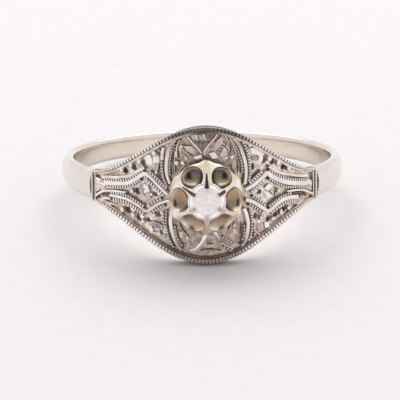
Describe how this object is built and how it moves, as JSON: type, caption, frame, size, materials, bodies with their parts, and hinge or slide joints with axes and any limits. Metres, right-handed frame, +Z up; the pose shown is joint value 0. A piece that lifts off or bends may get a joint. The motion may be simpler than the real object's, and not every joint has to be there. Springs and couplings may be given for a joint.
{
  "type": "diamond ring",
  "caption": "Dress ring with a plain band, a pierced eye-shaped head bent round the finger, a fluted claw crown and one round diamond.",
  "frame": {"origin": "under the middle of the ring as it lies on its side, on the surface it rests on", "axes": "+Z up from the surface, -Y the way the stone faces, +Y towards the back of the band, X across the finger hole"},
  "size_m": [0.0186, 0.0205, 0.0089],
  "materials": {
    "band_metal": "polished white gold",
    "head_metal": "pierced and engraved white gold",
    "crown_metal": "filed pale yellow gold",
    "stone": "cut and polished diamond"
  },
  "bodies": {
    "root": {"shank": "band_metal", "pierced_head": "head_metal", "claw_crown": "crown_metal", "diamond": "stone"}
  },
  "joints": []
}
